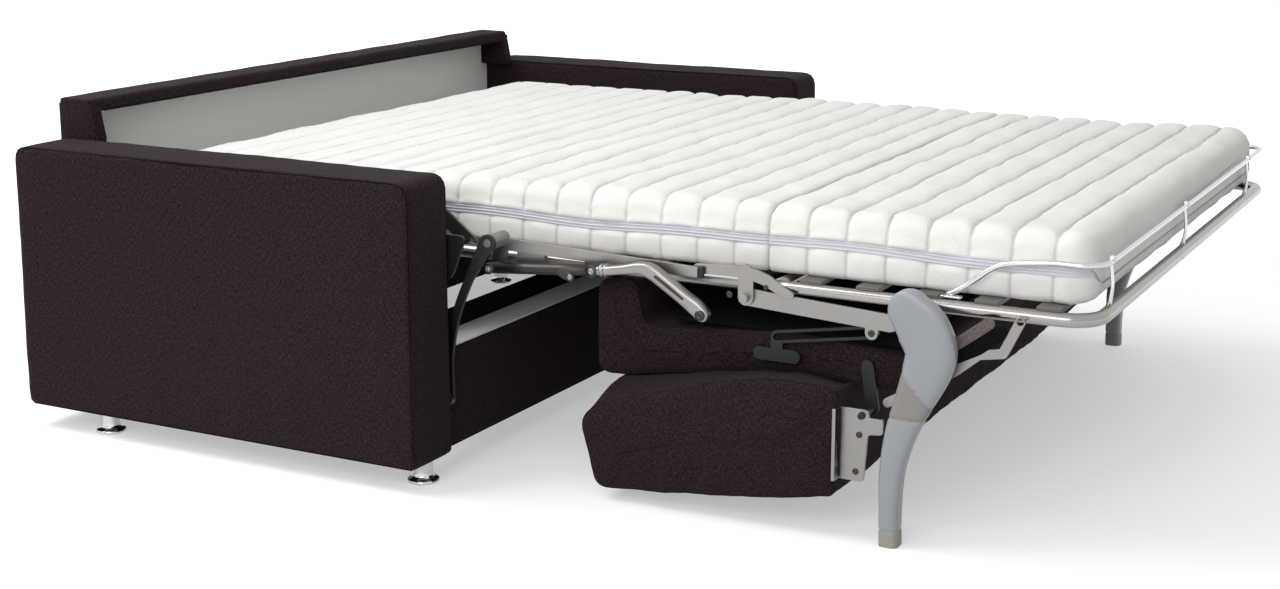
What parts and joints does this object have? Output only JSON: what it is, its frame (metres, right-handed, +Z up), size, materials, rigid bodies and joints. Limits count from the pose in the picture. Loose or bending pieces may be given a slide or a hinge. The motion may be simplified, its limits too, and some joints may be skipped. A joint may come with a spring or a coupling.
{
  "type": "sleeper sofa",
  "caption": "Upholstered two-arm sleeper sofa with its slatted bed and folding mattress pulled out, seat and backrest hung under the foot part",
  "frame": {"origin": "centre of the underside of the bounding box, on the floor", "axes": "+Z up, -Y toward the foot of the pulled-out bed, +X to the right of someone who looks at the front"},
  "size_m": [1.9358, 2.1997, 0.685],
  "materials": {
    "upholstery": "woven upholstery cloth",
    "lining": "light woven lining",
    "ticking": "quilted knit ticking",
    "satin_steel": "satin",
    "dark_steel": "dark satin enamel",
    "chrome": "polished",
    "leg_grey": "satin moulded",
    "cap_grey": "matt",
    "black_trim": "black cloth"
  },
  "bodies": {
    "body": {"arm_left": "upholstery", "arm_right": "upholstery", "back_board": "upholstery", "back_lining": "lining", "back_top_beam": "upholstery", "back_cheek_left": "upholstery", "back_cheek_right": "upholstery", "front_rail": "upholstery", "front_rail_liner": "lining", "front_rail_lip": "black_trim", "rear_sill": "upholstery", "foot_front_left": "chrome", "foot_front_right": "chrome", "foot_rear_left": "chrome", "foot_rear_right": "chrome", "foot_inner_left": "chrome", "foot_inner_right": "chrome", "side_plate_left": "dark_steel", "side_plate_right": "dark_steel"},
    "cranks": {"crank_left": "dark_steel", "crank_right": "dark_steel"},
    "swing_arms": {"swing_arm_left": "dark_steel", "swing_arm_right": "dark_steel"},
    "bed_middle": {"mattress_middle": "ticking", "middle_frame": "satin_steel", "side_rail_left": "satin_steel", "side_rail_right": "satin_steel"},
    "bed_head": {"mattress_head": "ticking", "head_frame": "satin_steel"},
    "bed_foot": {"mattress_foot": "ticking", "foot_frame": "satin_steel", "retaining_bail": "chrome", "flat_bar_left": "satin_steel", "flat_bar_right": "satin_steel", "fold_plate_left": "satin_steel", "fold_plate_right": "satin_steel"},
    "seat": {"seat_cushion": "upholstery", "seat_board": "black_trim", "seat_runner_left": "dark_steel", "seat_runner_right": "dark_steel", "hinge_bracket_left": "dark_steel", "hinge_bracket_right": "dark_steel"},
    "backrest": {"backrest_cushion": "upholstery", "backrest_plate_left": "satin_steel", "backrest_plate_right": "satin_steel"},
    "legs": {"leg_core_left": "leg_grey", "leg_core_right": "leg_grey", "leg_cover_left": "leg_grey", "leg_cover_right": "leg_grey", "leg_cap_left": "cap_grey", "leg_cap_right": "cap_grey"},
    "drive_tubes": {"drive_tube_left": "dark_steel", "drive_tube_right": "dark_steel"},
    "bent_arms": {"bent_arm_left": "satin_steel", "bent_arm_right": "satin_steel"},
    "rear_struts": {"rear_strut_left": "satin_steel", "rear_strut_right": "satin_steel"}
  },
  "joints": [
    {"name": "lift_crank", "type": "hinge", "parent": "body", "child": "cranks", "pos_m": [0, 0.5692, 0.3513], "axis": [1, 0, 0], "range_deg": [-209, 0]},
    {"name": "swing_pivot", "type": "hinge", "parent": "cranks", "child": "swing_arms", "pos_m": [0, 0.1471, 0.1542], "axis": [1, 0, 0], "range_deg": [0, 321.08]},
    {"name": "knuckle_pivot", "type": "hinge", "parent": "swing_arms", "child": "bed_middle", "pos_m": [0, 0.049, 0.47], "axis": [1, 0, 0], "range_deg": [-112.09, 0]},
    {"name": "head_fold", "type": "hinge", "parent": "bed_middle", "child": "bed_head", "pos_m": [0, 0.2438, 0.5095], "axis": [1, 0, 0], "range_deg": [0, 101.3]},
    {"name": "foot_fold", "type": "hinge", "parent": "bed_middle", "child": "bed_foot", "pos_m": [0, -0.4782, 0.574], "axis": [1, 0, 0], "range_deg": [-180, 0]},
    {"name": "seat_slide", "type": "slide", "parent": "bed_foot", "child": "seat", "axis": [0, -0.9869, 0.1616], "range_m": [0, 0.18566]},
    {"name": "backrest_fold", "type": "hinge", "parent": "seat", "child": "backrest", "pos_m": [0, -0.703, 0.2325], "axis": [1, 0, 0], "range_deg": [-78.4, 0]},
    {"name": "leg_fold", "type": "hinge", "parent": "bed_foot", "child": "legs", "pos_m": [0, -0.787, 0.425], "axis": [1, 0, 0], "range_deg": [-126.13, 0]},
    {"name": "drive_tube_pivot", "type": "hinge", "parent": "bed_middle", "child": "drive_tubes", "pos_m": [0, 0.059, 0.416], "axis": [1, 0, 0], "range_deg": [-25, 0]},
    {"name": "bent_arm_pivot", "type": "hinge", "parent": "drive_tubes", "child": "bent_arms", "pos_m": [0, -0.166, 0.4347], "axis": [1, 0, 0], "range_deg": [-15, 0]},
    {"name": "strut_pivot", "type": "hinge", "parent": "bed_foot", "child": "rear_struts", "pos_m": [0, -0.967, 0.423], "axis": [1, 0, 0], "range_deg": [0, 12]}
  ],
  "couplings": [
    {"joint": "swing_pivot", "follows": "lift_crank", "ratio": -1.5363},
    {"joint": "knuckle_pivot", "follows": "lift_crank", "ratio": 0.53631},
    {"joint": "head_fold", "follows": "lift_crank", "ratio": -0.4847},
    {"joint": "foot_fold", "follows": "lift_crank", "ratio": 0.86126},
    {"joint": "backrest_fold", "follows": "lift_crank", "ratio": 0.37513},
    {"joint": "leg_fold", "follows": "lift_crank", "ratio": 0.60351},
    {"joint": "drive_tube_pivot", "follows": "lift_crank", "ratio": 0.11962},
    {"joint": "bent_arm_pivot", "follows": "lift_crank", "ratio": 0.071772},
    {"joint": "strut_pivot", "follows": "lift_crank", "ratio": -0.057417},
    {"joint": "seat_slide", "follows": "lift_crank", "m_per_rad": -0.050893}
  ]
}
